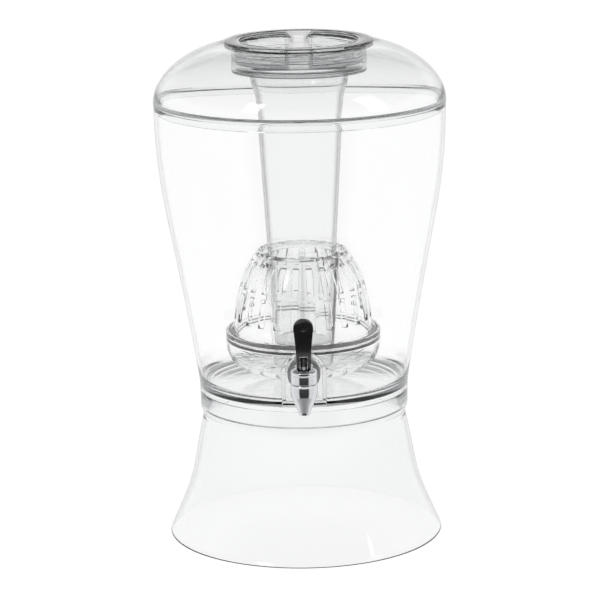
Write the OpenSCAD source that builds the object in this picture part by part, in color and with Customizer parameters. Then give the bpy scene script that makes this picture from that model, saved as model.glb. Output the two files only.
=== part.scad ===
// Countertop beverage dispenser: a clear tank on a bell stand, with a domed lid, an ice tube,
// an infuser on the tube's tip and a self-closing lever tap. Millimetres, +Z up, the tap at -Y.
// The origin is on the vertical axis, on the surface that the stand rests on.

/* [Stand] */
// Radius of the bell's foot
stand_foot_r = 133.6; // [120:0.1:160]
// Height from the rest surface to the top of the collar
stand_h = 144; // [125:1:180]
// Radius of the collar, outside
collar_r = 101.2; // [90:0.1:112]
// Wall thickness of the stand
stand_wall = 2.7; // [2:0.1:4]
// How much narrower than the collar the waist is
waist_inset = 2.4; // [1:0.1:5]

/* [Tank] */
// Height from the stand's collar to the tank's mouth
tank_h = 280.6; // [230:0.1:340]
// How far the tank's shoulder stands proud of the stand's collar
shoulder_lip = 0.5; // [0:0.1:3]
// Radius of the tank's mouth, outside
mouth_r = 139.8; // [125:0.1:160]
// Wall thickness of the tank
tank_wall = 2.8; // [2:0.1:4]
// Height of the tank's floor above the stand's collar
floor_rise = 8.3; // [7:0.1:14]
// Thickness of the tank's floor
floor_t = 4; // [3:0.1:6]
// Height of the foot ring below the shoulder
foot_ring_h = 16; // [8:0.5:24]
// Thickness of the foot ring
foot_ring_t = 2.8; // [2:0.1:5]
// Radius of the cove between floor and wall
cove_r = 9; // [4:0.5:14]

/* [Tap pad] */
// Width of the flat pad that the tap bolts to
pad_w = 42; // [36:0.5:50]
// Wall thickness of the pad
pad_wall = 3.4; // [2.5:0.1:5]
// How far the pad's face stands in front of the tank's shoulder
pad_proud = 8.8; // [7:0.1:14]
// Height of the tap's hole above the tank's floor
tap_rise = 31.7; // [27:0.1:40]

/* [Lid] */
// How far the lid's rim stands proud of the tank's mouth
lid_lip = 0.4; // [0:0.1:3]
// Height of the lid from its rim to the top of its neck
lid_h = 55.7; // [48:0.1:70]
// Wall thickness of the lid
lid_wall = 2.6; // [2:0.1:4]
// Depth of the spigot that drops into the tank's mouth
spigot_h = 7.1; // [4:0.1:12]
// Bore of the neck, radius
neck_bore_r = 61.6; // [56:0.1:66]
// Depth of the neck
neck_h = 23.3; // [21:0.1:30]
// Wall thickness of the neck and of its ledge
neck_wall = 2.4; // [2:0.1:4]
// Radius of the hole in the neck's ledge
ledge_hole_r = 47.6; // [44:0.1:52]

/* [Screw cap] */
// How far the cap's flange reaches past the neck's bore
cap_flange_reach = 9.6; // [8:0.1:14]
// Thickness of the cap's flange
cap_flange_t = 2.7; // [2:0.1:4]
// Wall thickness of the cap's cup
cap_wall = 2.8; // [2:0.1:4]
// Depth of the cap's cup below the flange
cap_cup_h = 16; // [14:0.5:18]
// Width of the grip bar at its waist
grip_waist = 14.6; // [10:0.1:20]
// Width of the grip bar at its ends
grip_flare = 26; // [20:0.5:34]
// Thickness of the seal under the flange
seal_t = 1; // [0.6:0.1:2]
// Lead of the cap's thread
thread_lead = 7.4; // [6:0.1:9]
// Height that the thread's ribs stand proud
thread_rib = 1.5; // [1:0.1:2]
// Width of a rib where it meets the wall
rib_w = 2.8; // [2:0.1:3]

/* [Ice tube] */
// Radius of the tube near its tip, outside
tube_tip_r = 27.75; // [24:0.05:32]
// Radius of the tube where it starts to flare, outside
tube_top_r = 41.9; // [36:0.1:45]
// Length of the tube below the neck's ledge
tube_l = 271.4; // [220:0.1:330]
// Wall thickness of the tube
tube_wall = 2.2; // [1.6:0.1:3.5]
// Height over which the tube's mouth flares
tube_flare_h = 29; // [20:1:40]

/* [Infuser] */
// Room between the cup's rim and the tank's shoulder
cup_room = 26.7; // [20:0.1:38]
// Height of the cup
cup_h = 39; // [33:0.5:50]
// Wall thickness of the cup and of the dome
cup_wall = 2.6; // [2:0.1:3.5]
// Depth of the cup's floor below the tip of the ice tube
cup_drop = 25; // [18:0.5:32]
// How far the socket reaches up past the tube's tip
socket_grip = 87; // [60:0.5:92]
// Height of the infuser's dome
infuser_h = 83; // [70:0.5:100]
// Radius of the opening at the dome's top, inside
infuser_mouth_r = 40.3; // [37:0.1:46]
// Slots in each row around the dome
slots = 24; // [12:1:30]
// Width of each slot
slot_w = 6.3; // [4:0.1:8]
// Bayonet lugs on the tube's tip
lugs = 3; // [2:1:4]
// Turn from locked to free
lug_turn = 30; // [20:1:45]

/* [Tap] */
// Reach from the pad's face to the axis of the nozzle
tap_reach = 32.5; // [29:0.5:44]
// Radius of the threaded shank
shank_r = 8; // [7:0.1:9]
// Thickness of each shank washer
washer_t = 3; // [2:0.1:4]
// Bore of the nozzle, radius
nozzle_bore_r = 4.4; // [3.5:0.1:5]
// Radius of the tap's barrel at its widest
barrel_r = 12.85; // [12.4:0.05:15]
// Radius of the bonnet
bonnet_r = 12.2; // [12:0.1:14]
// Height of the lever above the bonnet
lever_h = 48; // [40:0.5:64]
// Width of the lever at its thumb pad
lever_w = 18.6; // [15:0.1:24]
// Width of the lever at its fork
fork_w = 13.3; // [12.5:0.1:16]
// Diameter of the stem
stem_d = 6.4; // [5.5:0.1:7]
// Swing of the lever from closed to fully open
lever_swing = 50; // [30:1:55]
// Lift of the stem over that swing
stem_lift = 3; // [2:0.1:3.5]

/* [Fits] */
// Gap between nested shells that lift or twist apart
shell_gap = 0.35; // [0.3:0.01:0.6]
// Radial running clearance of a shaft in its hole
running_gap = 0.05; // [0.02:0.01:0.1]

/* [Hidden] */
$fn = 96;
clear = "#dfe6e8";
silicone = "#e9edee";
chrome = "#c9ccd0";

// Radii that follow the piece below or around
shoulder_r = collar_r + shoulder_lip;
pad_face = shoulder_r + pad_proud;
lid_r = mouth_r + lid_lip;
cup_r = shoulder_r - cup_room;
cap_flange_r = neck_bore_r + cap_flange_reach;

// Levels, from the rest surface up
shoulder_z = stand_h;
floor_z = shoulder_z + floor_rise;
mouth_z = shoulder_z + tank_h;
neck_top_z = mouth_z + lid_h;
ledge_z = neck_top_z - neck_h + neck_wall;
flange_z = neck_top_z + seal_t;
tip_z = ledge_z - tube_l;
cup_z = tip_z - cup_drop;
rim_z = cup_z + cup_h;

// ---------- helpers ----------

function mix(a, b, t) = a + (b - a) * t;
// Points along a cubic curve through its four control points, without the last one
function curve(p, n = 20) = [
    for (i = [0 : n - 1]) let (t = i / n, s = 1 - t)
        s * s * s * p[0] + 3 * s * s * t * p[1] + 3 * s * t * t * p[2] + t * t * t * p[3]
];
function back_to_front(v) = [for (i = [len(v) - 1 : -1 : 0]) v[i]];
function moved(v, d) = [for (p = v) p + d];

module spun(points) { rotate_extrude($fn = 180) polygon(points); }
module ring(r_in, r_out, z, h) {
    translate([0, 0, z]) difference() {
        cylinder(r = r_out, h = h);
        translate([0, 0, -1]) cylinder(r = r_in, h = h + 2);
    }
}

// A helical rib with a trapezoid section that fades in and out at its ends
module helical_rib(r_root, r_crest, z_start, turns, steps = 48) {
    count = floor(turns * steps);
    side = r_crest > r_root ? 1 : -1;
    section = [[-1, 0.5], [1, 0.24], [1, -0.24], [-1, -0.5]];
    points = [
        for (i = [0 : count], s = section)
            let (
                fade = min(1, i / 5, (count - i) / 5),
                r = s[0] > 0 ? mix(r_root + side * 0.1, r_crest, fade) : r_root - side * 0.5,
                a = 360 * i / steps
            )
            [r * cos(a), r * sin(a), z_start + thread_lead * i / steps - side * s[1] * rib_w]
    ];
    sides = [
        for (i = [0 : count - 1], j = [0 : 3])
            let (a = 4 * i + j, b = 4 * i + (j + 1) % 4)
            each [[a, b, b + 4], [a, b + 4, a + 4]]
    ];
    polyhedron(points, concat([[3, 2, 1], [3, 1, 0]], sides,
        [[4 * count, 4 * count + 1, 4 * count + 2], [4 * count, 4 * count + 2, 4 * count + 3]]));
}

// ---------- stand ----------

foot_ring_r = collar_r - stand_wall - shell_gap;
waist_r = collar_r - waist_inset;
waist_z = stand_h - foot_ring_h - 10;
flare_line = 0.446;
waist_line = 0.211;
bell = curve([
    [stand_foot_r, 0], [stand_foot_r - flare_line * 0.53 * waist_z, 0.53 * waist_z],
    [waist_r + waist_line * 0.58 * waist_z, 0.42 * waist_z], [waist_r, waist_z]
]);

module base_stand() {
    collar_base = stand_h - foot_ring_h - 0.4;
    outside = concat(bell, curve([
        [waist_r, waist_z], [waist_r - waist_line * 4, waist_z + 4],
        [collar_r, waist_z + 6], [collar_r, waist_z + 12]
    ], 10), [[collar_r, waist_z + 12], [collar_r, stand_h]]);
    inside = concat(moved(bell, [-stand_wall, 0]), [
        [waist_r - stand_wall, waist_z], [waist_r - stand_wall, collar_base],
        [collar_r - stand_wall, collar_base], [collar_r - stand_wall, stand_h]
    ]);
    color(clear) spun(concat(outside, back_to_front(inside)));
}

// ---------- tank ----------

wall_line = 0.15;
tank_side = curve([
    [shoulder_r, floor_z], [shoulder_r + wall_line * 0.585 * (mouth_z - floor_z),
        floor_z + 0.585 * (mouth_z - floor_z)],
    [mouth_r, mouth_z - 0.326 * (mouth_z - floor_z)], [mouth_r, mouth_z]
], 32);
// The wall's inner face from the cove to the mouth, and the cavity that it bounds
cavity_side = [for (p = moved(tank_side, [-tank_wall, 0])) if (p[1] > floor_z + cove_r) p];
cove = [for (a = [0 : 15 : 90])
    [shoulder_r - tank_wall - cove_r * (1 - sin(a)) + wall_line * cove_r * (1 - cos(a)),
        floor_z + cove_r * (1 - cos(a))]];
cavity = concat([[0, floor_z]], cove, cavity_side, [[mouth_r - tank_wall, mouth_z]]);
tap_z = floor_z + tap_rise;

module arch(width, z_low) {
    translate([0, tap_z]) circle(d = width);
    translate([-width / 2, z_low]) square([width, tap_z - z_low]);
}

module tank() {
    foot_in = foot_ring_r - foot_ring_t;
    foot_z = shoulder_z - foot_ring_h;
    shell = concat([
        [0, floor_z - floor_t], [foot_in, floor_z - floor_t], [foot_in, foot_z],
        [foot_ring_r, foot_z], [foot_ring_r, shoulder_z], [shoulder_r, shoulder_z]
    ], tank_side, [[mouth_r, mouth_z]], back_to_front(cavity));
    color(clear) difference() {
        union() {
            spun(shell);
            difference() {
                translate([0, -shoulder_r + 14, 0]) rotate([90, 0, 0])
                    linear_extrude(height = pad_face - shoulder_r + 14) arch(pad_w, floor_z);
                spun(concat(cavity, [[mouth_r, mouth_z + 1], [0, mouth_z + 1]]));
            }
        }
        translate([0, -shoulder_r + 22, 0]) rotate([90, 0, 0])
            linear_extrude(height = pad_face - pad_wall - shoulder_r + 22)
                arch(pad_w - 2 * pad_wall, floor_z + pad_wall);
        translate([0, -pad_face - 1, tap_z]) rotate([-90, 0, 0])
            cylinder(r = shank_r + 0.2, h = pad_wall + 2);
    }
}

// ---------- lid, cap and ice tube ----------

neck_r = neck_bore_r + neck_wall;
neck_land_r = neck_r + 6;

module dome_lid() {
    spigot_r = mouth_r - tank_wall - shell_gap;
    spigot_in = spigot_r - lid_wall;
    inside_r = lid_r - lid_wall;
    crown = neck_top_z - lid_wall;
    outside = curve([
        [lid_r, mouth_z], [lid_r, mouth_z + 0.557 * lid_h],
        [neck_land_r + 28, neck_top_z], [neck_land_r, neck_top_z]
    ], 28);
    inside = curve([
        [inside_r, mouth_z + 5], [inside_r, mouth_z + 0.53 * lid_h],
        [neck_land_r + 27, crown], [neck_land_r - 3, crown]
    ], 28);
    ledge_low = ledge_z - neck_wall;
    color(clear) union() {
        spun(concat([
            [spigot_in, mouth_z - spigot_h], [spigot_r, mouth_z - spigot_h], [spigot_r, mouth_z]
        ], outside, [
            [neck_land_r, neck_top_z], [neck_bore_r, neck_top_z], [neck_bore_r, ledge_z],
            [ledge_hole_r, ledge_z], [ledge_hole_r, ledge_low], [neck_r, ledge_low],
            [neck_r, crown]
        ], back_to_front(inside), [[spigot_in, mouth_z + 1]]));
        helical_rib(neck_bore_r, neck_bore_r - thread_rib, ledge_z + tube_wall + 3.4,
            (neck_h - neck_wall - tube_wall - 5) / thread_lead);
    }
}

cap_wall_r = neck_bore_r - thread_rib - 0.8;
cap_bore_r = cap_wall_r - cap_wall;
cap_floor_z = flange_z - cap_cup_h;

// Half of the grip bar's outline, narrowest at the middle of the cup
module grip_outline(inset) {
    half_l = cap_wall_r - 0.5;
    edge = [for (i = [-10 : 10]) let (t = i / 10)
        [mix(grip_waist, grip_flare, t * t) / 2 - inset, t * half_l]];
    intersection() {
        polygon(concat(edge, [for (p = back_to_front(edge)) [-p[0], p[1]]]));
        circle(r = cap_wall_r - 0.6 - inset);
    }
}

module screw_cap() {
    top_z = flange_z + cap_flange_t;
    floor_top = cap_floor_z + cap_wall;
    wall = 2.2;
    round_over = 0.9;
    color(clear) difference() {
        union() {
            spun([
                [0, cap_floor_z], [cap_wall_r - 1, cap_floor_z], [cap_wall_r, cap_floor_z + 1],
                [cap_wall_r, flange_z], [cap_flange_r - 0.4, flange_z],
                [cap_flange_r, flange_z + 0.4], [cap_flange_r, top_z - round_over],
                [cap_flange_r - round_over, top_z], [cap_bore_r, top_z], [cap_bore_r, floor_top],
                [0, floor_top]
            ]);
            translate([0, 0, cap_floor_z]) linear_extrude(height = top_z - cap_floor_z)
                grip_outline(0);
            helical_rib(cap_wall_r, cap_wall_r + thread_rib, cap_floor_z + 2.6 + cap_phase,
                (cap_cup_h - 4.6 - cap_phase) / thread_lead);
        }
        translate([0, 0, cap_floor_z - 1])
            linear_extrude(height = top_z - cap_floor_z + 1 - wall) grip_outline(wall);
    }
}
// The cap's rib lies midway between two turns of the neck's rib
cap_phase = ledge_z + tube_wall + 3.4 + thread_lead / 2 - cap_floor_z - 2.6;

module cap_seal() {
    color(silicone) ring(neck_bore_r + 0.4, neck_land_r - 2, neck_top_z, seal_t);
}

// Outside radius of the tube at a height, on its straight taper
taper_top_z = ledge_z - tube_flare_h;
function tube_r(z) = mix(tube_tip_r, tube_top_r, (z - tip_z) / (taper_top_z - tip_z));
lug_z = tip_z + socket_grip - 10;
lug_w = 6;
lug_h = 4;
lug_reach = 2.4;

module ice_tube() {
    throat_r = ledge_hole_r - shell_gap;
    flange_r = neck_bore_r - thread_rib - 0.3;
    flare = curve([
        [tube_top_r, taper_top_z], [tube_r(taper_top_z + 9), taper_top_z + 9],
        [throat_r, taper_top_z + 16], [throat_r, ledge_z]
    ], 12);
    corner = [for (a = [0 : 15 : 90])
        [tube_tip_r - 4 * (1 - sin(a)), tip_z + 4 * (1 - cos(a))]];
    bore = concat([[0, tip_z + tube_wall]], moved(corner, [-tube_wall, tube_wall * 0.6]),
        moved(flare, [-tube_wall, 0]), [[throat_r - tube_wall, ledge_z + tube_wall]]);
    color(clear) union() {
        spun(concat([[0, tip_z]], corner, flare, [
            [throat_r, ledge_z], [flange_r, ledge_z], [flange_r, ledge_z + tube_wall]
        ], back_to_front(bore)));
        for (i = [0 : lugs - 1]) rotate([0, 0, 90 + 360 * i / lugs])
            translate([tube_r(lug_z) - tube_wall / 2, -lug_w / 2, lug_z])
                cube([lug_reach + tube_wall / 2, lug_w, lug_h]);
    }
}

// ---------- infuser ----------

socket_top_z = tip_z + socket_grip;
foot_r = cup_r - cup_wall - 0.6;
seat_z = rim_z - 5;

module infuser_cup() {
    bowl = curve([
        [46 / 75 * cup_r, cup_z], [66 / 75 * cup_r, cup_z],
        [cup_r, cup_z + 0.33 * cup_h], [cup_r, cup_z + 0.7 * cup_h]
    ], 16);
    hollow = curve([
        [44 / 75 * cup_r, cup_z + cup_wall], [64 / 75 * cup_r, cup_z + cup_wall],
        [cup_r - cup_wall, cup_z + 0.38 * cup_h], [cup_r - cup_wall, cup_z + 0.72 * cup_h]
    ], 16);
    seat_r = dome_r - cup_wall - 1;
    socket_wall = 2.2;
    gap = shell_gap;
    slot_a = asin((lug_w / 2 + 0.6) / tube_r(lug_z));
    color(clear) difference() {
        union() {
            spun(concat([[0, cup_z]], bowl, [
                [cup_r, cup_z + 0.7 * cup_h], [cup_r, rim_z], [cup_r - cup_wall, rim_z],
                [cup_r - cup_wall, seat_z], [seat_r, seat_z], [seat_r, seat_z - 2],
                [cup_r - cup_wall, seat_z - 4.5]
            ], [[cup_r - cup_wall, cup_z + 0.72 * cup_h]], back_to_front(hollow),
                [[0, cup_z + cup_wall]]));
            spun([
                [tube_r(cup_z) + gap, cup_z + 1], [tube_r(cup_z) + gap + socket_wall, cup_z + 1],
                [tube_r(socket_top_z) + gap + socket_wall, socket_top_z],
                [tube_r(socket_top_z) + gap, socket_top_z]
            ]);
        }
        // L-shaped slots that the tube's lugs enter from above and then turn in
        for (i = [0 : lugs - 1]) rotate([0, 0, 90 + 360 * i / lugs]) {
            rotate([0, 0, -lug_turn - slot_a])
                rotate_extrude(angle = lug_turn + 2 * slot_a)
                    translate([tube_r(lug_z) - 3, lug_z - 0.4]) square([8, lug_h + 0.8]);
            rotate([0, 0, -lug_turn]) translate([tube_r(lug_z) - 3, -lug_w / 2 - 0.6, lug_z])
                cube([8, lug_w + 1.2, socket_top_z - lug_z + 1]);
        }
        for (i = [0 : slots - 1]) rotate([0, 0, 360 * (i + 0.5) / slots]) {
            translate([0.66 * cup_r, -1.6, cup_z - 1]) cube([0.24 * cup_r, 3.2, 9]);
            if (i % 2 == 0) translate([0.47 * cup_r, -1.6, cup_z - 1])
                cube([0.14 * cup_r, 3.2, cup_wall + 2]);
        }
    }
}

dome_r = cup_r - 8;

module infuser_dome() {
    rim_r = infuser_mouth_r + 2.9;
    foot_top = seat_z + 2.4;
    top_z = seat_z + infuser_h;
    belly = curve([
        [dome_r, foot_top], [dome_r, foot_top + 0.4 * infuser_h],
        [mix(rim_r, dome_r, 0.62), top_z - 0.21 * infuser_h], [rim_r, top_z - 1.2]
    ], 24);
    inner = curve([
        [dome_r - cup_wall, seat_z], [dome_r - cup_wall, foot_top + 0.4 * infuser_h],
        [mix(rim_r, dome_r, 0.62) - cup_wall, top_z - 0.22 * infuser_h],
        [infuser_mouth_r, top_z - 4.4]
    ], 24);
    color(clear) difference() {
        spun(concat([[foot_r, seat_z], [foot_r, foot_top]], belly, [
            [rim_r, top_z - 1.2], [rim_r - 1.2, top_z], [infuser_mouth_r, top_z],
            [infuser_mouth_r, top_z - 4.4]
        ], back_to_front(inner)));
        for (i = [0 : slots - 1]) rotate([0, 0, 360 * (i + 0.5) / slots]) {
            translate([rim_r, -slot_w / 2, seat_z + 0.205 * infuser_h])
                cube([dome_r, slot_w, 0.33 * infuser_h]);
            translate([rim_r - 4, -slot_w / 2, seat_z + 0.592 * infuser_h])
                cube([dome_r, slot_w, 0.294 * infuser_h]);
        }
    }
}

// ---------- tap ----------

tap_y = -pad_face - tap_reach;
barrel_top = tap_z + shank_r + 0.4;
bonnet_top = barrel_top + 6;
nozzle_z = tap_z - 30.2;
seat_plane = nozzle_z + 16.4;
chamber_r = barrel_r - 3.45;
pin_z = bonnet_top + 5;
pin_r = 1.5;
flange_t = 2.5;
washer_r = shank_r + 7.4;
waterway_r = shank_r - 4.2;

module at_tap() { translate([0, tap_y, 0]) children(); }
module along_shank(y, h, r) {
    translate([0, y, tap_z]) rotate([-90, 0, 0]) cylinder(r = r, h = h);
}

module tap_body() {
    tip_r = nozzle_bore_r + 1.3;
    bulb_z = tap_z - 5.4;
    floor_of_chamber = seat_plane - 1.2;
    color(chrome) difference() {
        union() {
            at_tap() spun(concat([[0, nozzle_z], [tip_r - 0.3, nozzle_z], [tip_r, nozzle_z + 0.4]],
                curve([
                    [tip_r + 0.2, nozzle_z + 2], [tip_r + 2, nozzle_z + 10],
                    [barrel_r, nozzle_z + 15], [barrel_r, bulb_z]
                ], 16), [
                    [barrel_r, bulb_z], [barrel_r - 0.35, bulb_z + 4.6],
                    [barrel_r - 1.3, bulb_z + 5.4], [bonnet_r, bulb_z + 6.2],
                    [bonnet_r, barrel_top], [0, barrel_top]
                ]));
            along_shank(tap_y + chamber_r + 1.1, tap_reach - chamber_r + pad_wall + 16.9, shank_r);
            along_shank(-pad_face - washer_t - flange_t, flange_t, barrel_r + 0.15);
        }
        at_tap() translate([0, 0, nozzle_z - 1]) cylinder(r = nozzle_bore_r, h = 30);
        // The chamber's floor stands up as a lip round the nozzle's bore, for the plug to seat on
        at_tap() spun([
            [0, seat_plane], [nozzle_bore_r + 1.6, seat_plane], [nozzle_bore_r + 1.8, floor_of_chamber],
            [chamber_r, floor_of_chamber], [chamber_r, barrel_top + 1], [0, barrel_top + 1]
        ]);
        along_shank(tap_y, tap_reach + pad_wall + 19, waterway_r);
    }
}

gasket_t = 0.8;
skirt_z = barrel_top - 2.4;
roof_z = bonnet_top - 3.8;

module tap_bonnet() {
    groove_r = stem_d / 2 + 1.9;
    color(chrome) at_tap() difference() {
        spun([
            [0, skirt_z], [chamber_r - 0.1, skirt_z], [chamber_r - 0.1, barrel_top + gasket_t],
            [bonnet_r, barrel_top + gasket_t], [bonnet_r, bonnet_top - 3],
            [bonnet_r - 0.9, bonnet_top - 2.2], [bonnet_r - 3.4, bonnet_top - 0.5],
            [bonnet_r - 4.4, bonnet_top], [0, bonnet_top]
        ]);
        translate([0, 0, skirt_z - 1]) cylinder(r = chamber_r - 1.9, h = roof_z - skirt_z + 1);
        translate([0, 0, skirt_z]) cylinder(r = stem_d / 2 + running_gap, h = 20);
        translate([0, 0, roof_z + 1]) cylinder(r = groove_r, h = 1.8);
    }
}

module bonnet_gasket() {
    color(silicone) at_tap() ring(chamber_r, bonnet_r - 0.4, barrel_top, gasket_t);
}

module stem_o_ring() {
    hole = stem_d / 2 + running_gap;
    color("#3a3a3a") at_tap() translate([0, 0, roof_z + 1.9])
        rotate_extrude() translate([hole + 0.9, 0]) circle(r = 0.88, $fn = 32);
}

plug_h = 5.8;
washer_z = seat_plane + plug_h;

module tap_stem() {
    head_z = pin_z + 5.4;
    color(chrome) at_tap() difference() {
        union() {
            translate([0, 0, seat_plane + 2.2]) cylinder(d = stem_d - 2, h = 4);
            translate([0, 0, washer_z]) cylinder(d = stem_d, h = head_z - washer_z - 1);
            translate([0, 0, head_z - 1]) cylinder(d1 = stem_d, d2 = stem_d - 2, h = 1);
            translate([0, 0, seat_plane + 2.2]) cylinder(d = stem_d + 1, h = 1.2);
        }
        translate([-10, 0, pin_z]) rotate([0, 90, 0]) cylinder(r = pin_r + 0.02, h = 20);
    }
}

module stem_washer() {
    color(chrome) at_tap() ring(stem_d / 2 + 0.05, chamber_r - 2.1, washer_z, 0.8);
}

module seat_plug() {
    color(silicone) at_tap() difference() {
        spun([
            [0, seat_plane], [chamber_r - 1.8, seat_plane], [chamber_r - 1.4, seat_plane + 0.5],
            [chamber_r - 2.6, seat_plane + 3.4], [chamber_r - 1.9, washer_z], [0, washer_z]
        ]);
        translate([0, 0, seat_plane + 2.1]) cylinder(d = stem_d - 1.9, h = 9);
        translate([0, 0, seat_plane + 2.1]) cylinder(d = stem_d + 1.1, h = 1.4);
    }
}

// A round-wire compression spring between the stem's washer and the bonnet's roof
module tap_spring() {
    wire = 1.1;
    coil_r = chamber_r - 3.6;
    low = washer_z + 0.8 + wire / 2 + 0.05;
    high = roof_z - wire / 2 - 0.05;
    turns = 6;
    steps = 20;
    count = turns * steps;
    rim = 8;
    points = [for (i = [0 : count], j = [0 : rim - 1])
        let (a = 360 * i / steps, b = 360 * j / rim, r = coil_r + wire / 2 * cos(b))
        [r * cos(a), r * sin(a), mix(low, high, i / count) + wire / 2 * sin(b)]];
    sides = [for (i = [0 : count - 1], j = [0 : rim - 1])
        let (a = rim * i + j, b = rim * i + (j + 1) % rim)
        each [[a, b, b + rim], [a, b + rim, a + rim]]];
    caps = concat([[for (j = [rim - 1 : -1 : 0]) j]], [[for (j = [0 : rim - 1]) rim * count + j]]);
    color("#b9bcc0") at_tap() polyhedron(points, concat(caps, sides));
}

// The foot is the cam that lifts the stem in step with the swing: each point of its front
// edge touches the bonnet at its own angle
module lever_side() {
    lift_rate = stem_lift / (lever_swing * PI / 180);
    base = pin_z - bonnet_top - 0.25;
    cam = [for (a = [0 : 5 : lever_swing]) let (p = base + lift_rate * a * PI / 180)
        [-(p * sin(a) + lift_rate * cos(a)), -p * cos(a) + lift_rate * sin(a)]];
    top = lever_h - 5.2;
    polygon(concat([[4.6, -base]], cam, [
        [-6.4, 3.5], [-5.2, 8], [-4.7, 14], [-5.4, 26], [-6.8, top - 3], [-6, top],
        [-1.6, top], [0.4, top - 4], [0.6, 26], [1.6, 14], [4.2, 6], [5, 0]
    ]));
}

module tap_lever() {
    top = pin_z + lever_h - 5.2;
    shoulder = top - lever_w / 2;
    color("#1b1b1c") at_tap() difference() {
        intersection() {
            translate([-lever_w, 0, pin_z]) rotate([90, 0, 90])
                linear_extrude(height = 2 * lever_w) lever_side();
            translate([0, 40, 0]) rotate([90, 0, 0]) linear_extrude(height = 80) union() {
                translate([0, shoulder]) circle(d = lever_w);
                polygon([
                    [-fork_w / 2, bonnet_top - 1], [fork_w / 2, bonnet_top - 1],
                    [fork_w / 2, pin_z + 10], [lever_w / 2, shoulder],
                    [-lever_w / 2, shoulder], [-fork_w / 2, pin_z + 10]
                ]);
            }
        }
        translate([-stem_d / 2 - 0.4, -20, bonnet_top - 1])
            cube([stem_d + 0.8, 40, pin_z + 7 - bonnet_top + 1]);
        translate([-20, 0, pin_z]) rotate([0, 90, 0]) cylinder(r = pin_r + running_gap, h = 40);
        translate([0, -20.5, shoulder]) sphere(r = 15.2, $fn = 64);
    }
}

module lever_pin() {
    color(chrome) at_tap() translate([-fork_w / 2 + 0.2, 0, pin_z]) rotate([0, 90, 0])
        cylinder(r = pin_r, h = fork_w - 0.4);
}

module shank_washer(y) {
    color(silicone) difference() {
        along_shank(y, washer_t, washer_r);
        along_shank(y - 1, washer_t + 2, shank_r + 0.1);
    }
}
module outer_washer() { shank_washer(-pad_face - washer_t); }
module inner_washer() { shank_washer(-pad_face + pad_wall); }

module back_nut() {
    y = -pad_face + pad_wall + washer_t;
    across_flats = 2 * shank_r + 11;
    color("#f1f2f0") difference() {
        translate([0, y, tap_z]) rotate([-90, 0, 0]) union() {
            cylinder(d = across_flats / cos(30), h = 7, $fn = 6);
            cylinder(r = washer_r, h = 1.4);
        }
        along_shank(y - 1, 12, shank_r + 0.1);
    }
}

base_stand();
tank();
dome_lid();
screw_cap();
cap_seal();
ice_tube();
infuser_cup();
infuser_dome();
tap_body();
tap_bonnet();
bonnet_gasket();
tap_stem();
stem_o_ring();
stem_washer();
seat_plug();
tap_spring();
tap_lever();
lever_pin();
outer_washer();
inner_washer();
back_nut();
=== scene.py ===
"""Looks of a clear countertop beverage dispenser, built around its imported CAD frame."""

from __future__ import annotations

import logging
import math
from dataclasses import dataclass
from enum import Enum

import bmesh
import bpy
from mathutils import Matrix, Vector


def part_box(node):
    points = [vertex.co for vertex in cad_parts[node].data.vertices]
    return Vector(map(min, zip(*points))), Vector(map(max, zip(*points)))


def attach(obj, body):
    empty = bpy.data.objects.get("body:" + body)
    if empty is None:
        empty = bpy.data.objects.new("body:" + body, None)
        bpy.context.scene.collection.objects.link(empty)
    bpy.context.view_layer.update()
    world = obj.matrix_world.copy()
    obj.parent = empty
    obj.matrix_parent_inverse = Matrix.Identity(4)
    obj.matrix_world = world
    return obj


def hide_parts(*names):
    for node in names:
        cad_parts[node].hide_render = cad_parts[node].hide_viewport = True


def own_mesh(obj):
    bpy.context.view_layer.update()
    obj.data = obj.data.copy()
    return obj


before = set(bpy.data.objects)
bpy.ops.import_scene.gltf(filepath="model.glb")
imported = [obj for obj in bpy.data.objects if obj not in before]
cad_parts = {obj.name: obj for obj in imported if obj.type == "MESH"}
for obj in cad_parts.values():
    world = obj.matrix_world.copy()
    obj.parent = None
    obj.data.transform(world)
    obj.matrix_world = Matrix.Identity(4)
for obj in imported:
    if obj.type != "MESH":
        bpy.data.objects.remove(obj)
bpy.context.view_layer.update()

log = logging.getLogger("dispenser")
MM = 0.001
FULL_TURN = 2 * math.pi

# Sizes that two sub-assemblies share, in millimetres
NECK_H = 23.3
NECK_WALL = 2.4
SEAT_DEPTH = 5.0
THREAD_LEAD = 7.4
THREAD_RISE = 1.5
THREAD_START = 3.4
TUBE_WALL = 2.2
SHOULDER_R = 101.7
PAD_FACE = 110.5
PAD_WALL = 3.4

Point = tuple[float, float]


# ---------------------------------------------------------------- shader expressions


class Socket:
    """One output of a material's node tree, on which Python operators add Math nodes."""

    def __init__(self, graph: "Graph", link: bpy.types.NodeSocket) -> None:
        """Keep the graph and the output that this stands for."""
        self.graph = graph
        self.link = link

    def _math(self, operation: str, *values: "Socket | float") -> "Socket":
        """The result of a Math node over the values."""
        return self.graph.node("ShaderNodeMath", {"operation": operation}, dict(enumerate(values)))

    def __add__(self, other: "Socket | float") -> "Socket":
        """Sum."""
        return self._math("ADD", self, other)

    __radd__ = __add__

    def __mul__(self, other: "Socket | float") -> "Socket":
        """Product."""
        return self._math("MULTIPLY", self, other)

    __rmul__ = __mul__

    def __sub__(self, other: "Socket | float") -> "Socket":
        """Difference."""
        return self._math("SUBTRACT", self, other)

    def __rsub__(self, other: float) -> "Socket":
        """Difference from a number."""
        return self._math("SUBTRACT", other, self)

    def clamped(self) -> "Socket":
        """The value kept between 0 and 1."""
        return self.graph.node("ShaderNodeClamp", {}, {"Value": self})


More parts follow.
